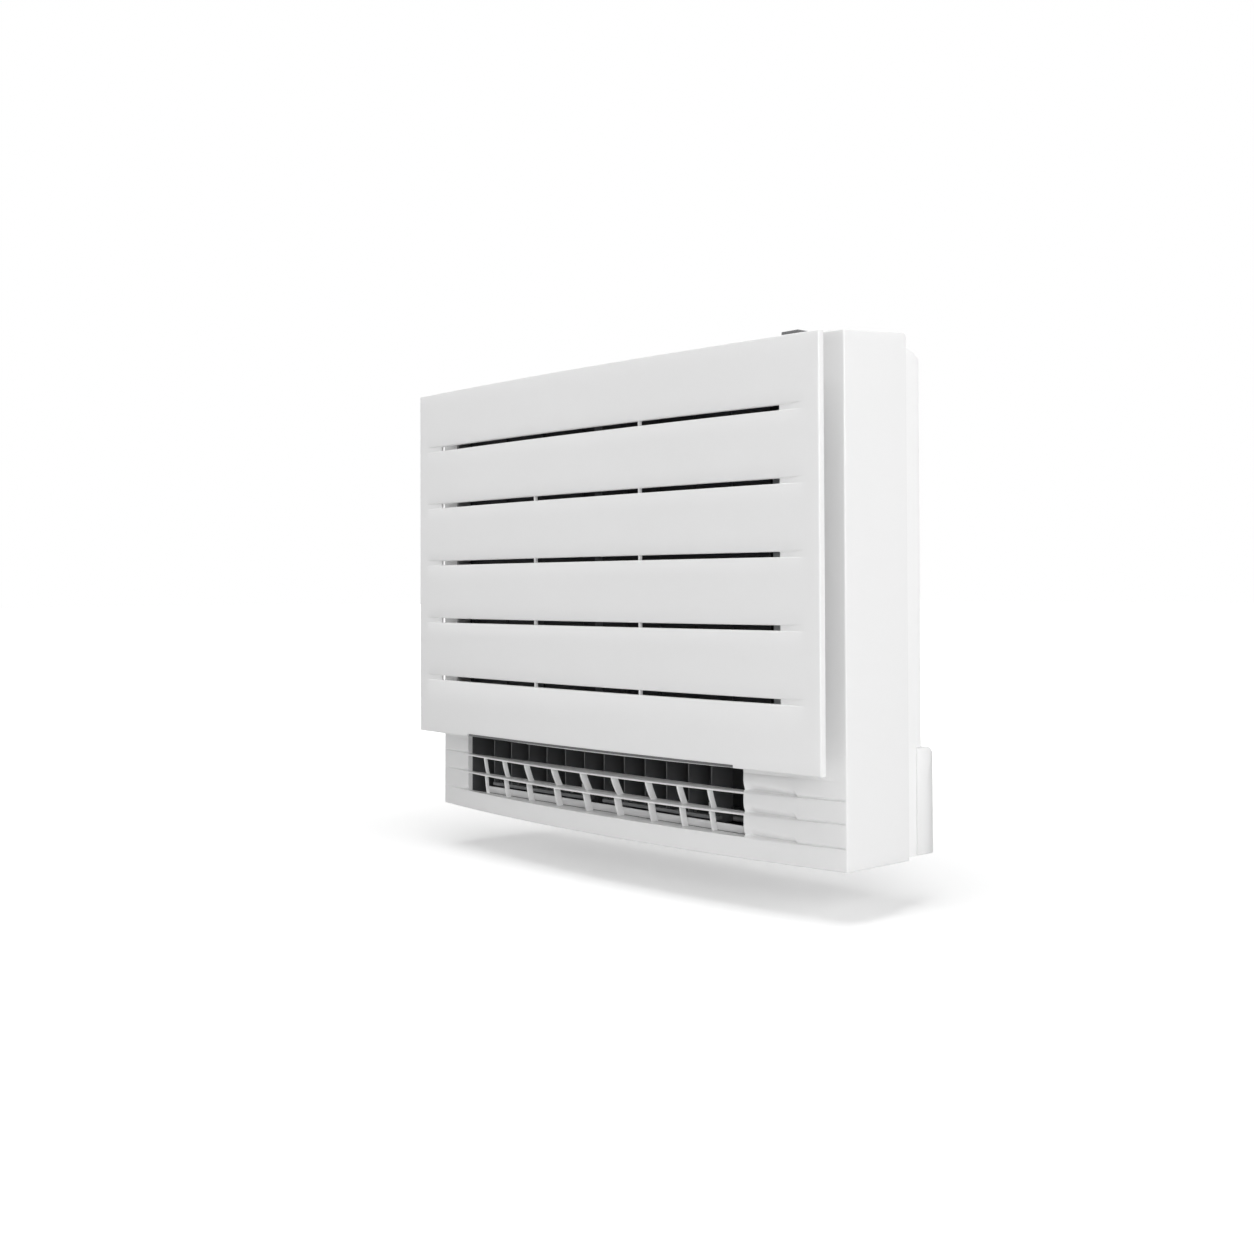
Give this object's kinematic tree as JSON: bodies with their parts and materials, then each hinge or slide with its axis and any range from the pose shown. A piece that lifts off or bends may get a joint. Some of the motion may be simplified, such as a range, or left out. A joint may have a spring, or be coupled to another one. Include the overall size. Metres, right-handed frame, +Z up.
{
  "type": "console air conditioner",
  "caption": "Slim white floor-standing console air conditioner with a slotted tilting front panel, louvred lower outlet, top outlet flap, fan, coil and filters.",
  "frame": {"origin": "under the middle of the unit, on its bottom plane", "axes": "+X to the right of someone facing the unit, +Y into the wall, +Z up"},
  "size_m": [0.75, 0.238, 0.6],
  "materials": {
    "white_plastic": "satin white moulding",
    "inner_plastic": "matt light grey moulding",
    "dark_plastic": "matt dark grey moulding",
    "grey_plastic": "matt mid grey moulding",
    "filter_net": "fine plastic net",
    "zinc_steel": "zinc plated sheet",
    "fin_aluminium": "rolled fin stock",
    "copper": "drawn copper tube",
    "brass": "turned brass",
    "board": "solder resist"
  },
  "bodies": {
    "casing": {"front_grille": "white_plastic", "outlet_guard": "white_plastic", "lower_duct": "dark_plastic", "shutter_motor": "inner_plastic", "bell_mouth": "dark_plastic", "fan_casing": "dark_plastic", "fan_motor": "zinc_steel", "upper_duct": "dark_plastic", "top_flap_motor": "inner_plastic", "heat_exchanger": "fin_aluminium", "drain_pan": "inner_plastic", "air_filter_left": "filter_net", "air_filter_right": "filter_net", "deodorising_filter_left": "dark_plastic", "deodorising_filter_right": "dark_plastic", "electrical_box": "zinc_steel", "circuit_board": "board", "terminal_block": "inner_plastic", "electrical_cover": "zinc_steel", "display_housing": "grey_plastic", "rear_casing": "white_plastic", "corner_cover_left": "white_plastic", "corner_cover_right": "white_plastic", "mounting_plate": "zinc_steel", "liquid_pipe": "copper", "gas_pipe": "copper", "liquid_flare_nut": "brass", "gas_flare_nut": "brass", "grille_screw_upper_left": "zinc_steel", "grille_screw_upper_right": "zinc_steel", "grille_screw_lower_left": "zinc_steel", "grille_screw_lower_right": "zinc_steel"},
    "panel": {"front_panel": "white_plastic"},
    "stopper_left": {"panel_stopper_left": "grey_plastic"},
    "stopper_right": {"panel_stopper_right": "grey_plastic"},
    "flap": {"top_flap": "white_plastic"},
    "shutter": {"lower_shutter": "inner_plastic"},
    "fan": {"fan_wheel": "inner_plastic"},
    "button": {"on_off_button": "white_plastic"},
    "link_left": {"link_bar_left": "grey_plastic"},
    "link_right": {"link_bar_right": "grey_plastic"},
    "vane_01": {"vane_01": "dark_plastic"},
    "vane_02": {"vane_02": "dark_plastic"},
    "vane_03": {"vane_03": "dark_plastic"},
    "vane_04": {"vane_04": "dark_plastic"},
    "vane_05": {"vane_05": "dark_plastic"},
    "vane_06": {"vane_06": "dark_plastic"},
    "vane_07": {"vane_07": "dark_plastic"},
    "vane_08": {"vane_08": "dark_plastic"},
    "vane_09": {"vane_09": "dark_plastic"},
    "vane_10": {"vane_10": "dark_plastic"},
    "vane_11": {"vane_11": "dark_plastic"},
    "vane_12": {"vane_12": "dark_plastic"}
  },
  "joints": [
    {"name": "panel_tilt", "type": "hinge", "parent": "casing", "child": "panel", "pos_m": [0, -0.09198, 0.12], "axis": [1, 0, 0], "range_deg": [0, 35]},
    {"name": "stopper_left_slide", "type": "slide", "parent": "casing", "child": "stopper_left", "axis": [-1, 0, 0], "range_m": [0, 0.008]},
    {"name": "stopper_right_slide", "type": "slide", "parent": "casing", "child": "stopper_right", "axis": [1, 0, 0], "range_m": [0, 0.008]},
    {"name": "top_flap_turn", "type": "hinge", "parent": "casing", "child": "flap", "pos_m": [0, -0.0242, 0.59132], "axis": [-1, 0, 0], "range_deg": [0, 65]},
    {"name": "shutter_turn", "type": "hinge", "parent": "casing", "child": "shutter", "pos_m": [0, -0.016, 0.031], "axis": [1, 0, 0], "range_deg": [0, 88]},
    {"name": "fan_spin", "type": "hinge", "parent": "casing", "child": "fan", "pos_m": [-0.0325, 0, 0.345], "axis": [0, 1, 0], "continuous": true},
    {"name": "button_press", "type": "slide", "parent": "casing", "child": "button", "axis": [0, 0, -1], "range_m": [0, 0.0015], "stiffness_N_per_m": 300},
    {"name": "vane_01_turn", "type": "hinge", "parent": "casing", "child": "vane_01", "pos_m": [-0.25654, -0.0398, 0.03], "axis": [0, 0, 1], "range_deg": [-30, 30]},
    {"name": "vane_02_turn", "type": "hinge", "parent": "casing", "child": "vane_02", "pos_m": [-0.21789, -0.0398, 0.03], "axis": [0, 0, 1], "range_deg": [-30, 30]},
    {"name": "vane_03_turn", "type": "hinge", "parent": "casing", "child": "vane_03", "pos_m": [-0.17925, -0.0398, 0.03], "axis": [0, 0, 1], "range_deg": [-30, 30]},
    {"name": "vane_04_turn", "type": "hinge", "parent": "casing", "child": "vane_04", "pos_m": [-0.14061, -0.0398, 0.03], "axis": [0, 0, 1], "range_deg": [-30, 30]},
    {"name": "vane_05_turn", "type": "hinge", "parent": "casing", "child": "vane_05", "pos_m": [-0.10196, -0.0398, 0.03], "axis": [0, 0, 1], "range_deg": [-30, 30]},
    {"name": "vane_06_turn", "type": "hinge", "parent": "casing", "child": "vane_06", "pos_m": [-0.06332, -0.0398, 0.03], "axis": [0, 0, 1], "range_deg": [-30, 30]},
    {"name": "link_left_slide", "type": "slide", "parent": "casing", "child": "link_left", "axis": [1, 0, 0], "range_m": [-0.0076, 0.0076]},
    {"name": "vane_07_turn", "type": "hinge", "parent": "casing", "child": "vane_07", "pos_m": [-0.02468, -0.0398, 0.03], "axis": [0, 0, 1], "range_deg": [-30, 30]},
    {"name": "vane_08_turn", "type": "hinge", "parent": "casing", "child": "vane_08", "pos_m": [0.01396, -0.0398, 0.03], "axis": [0, 0, 1], "range_deg": [-30, 30]},
    {"name": "vane_09_turn", "type": "hinge", "parent": "casing", "child": "vane_09", "pos_m": [0.05261, -0.0398, 0.03], "axis": [0, 0, 1], "range_deg": [-30, 30]},
    {"name": "vane_10_turn", "type": "hinge", "parent": "casing", "child": "vane_10", "pos_m": [0.09125, -0.0398, 0.03], "axis": [0, 0, 1], "range_deg": [-30, 30]},
    {"name": "vane_11_turn", "type": "hinge", "parent": "casing", "child": "vane_11", "pos_m": [0.12989, -0.0398, 0.03], "axis": [0, 0, 1], "range_deg": [-30, 30]},
    {"name": "vane_12_turn", "type": "hinge", "parent": "casing", "child": "vane_12", "pos_m": [0.16854, -0.0398, 0.03], "axis": [0, 0, 1], "range_deg": [-30, 30]},
    {"name": "link_right_slide", "type": "slide", "parent": "casing", "child": "link_right", "axis": [1, 0, 0], "range_m": [-0.0076, 0.0076]}
  ],
  "couplings": [
    {"joint": "vane_01_turn", "follows": "vane_06_turn", "ratio": 1},
    {"joint": "vane_02_turn", "follows": "vane_06_turn", "ratio": 1},
    {"joint": "vane_03_turn", "follows": "vane_06_turn", "ratio": 1},
    {"joint": "vane_04_turn", "follows": "vane_06_turn", "ratio": 1},
    {"joint": "vane_05_turn", "follows": "vane_06_turn", "ratio": 1},
    {"joint": "link_left_slide", "follows": "vane_06_turn", "m_per_rad": 0.01432},
    {"joint": "vane_07_turn", "follows": "vane_12_turn", "ratio": 1},
    {"joint": "vane_08_turn", "follows": "vane_12_turn", "ratio": 1},
    {"joint": "vane_09_turn", "follows": "vane_12_turn", "ratio": 1},
    {"joint": "vane_10_turn", "follows": "vane_12_turn", "ratio": 1},
    {"joint": "vane_11_turn", "follows": "vane_12_turn", "ratio": 1},
    {"joint": "link_right_slide", "follows": "vane_12_turn", "m_per_rad": 0.01432}
  ]
}
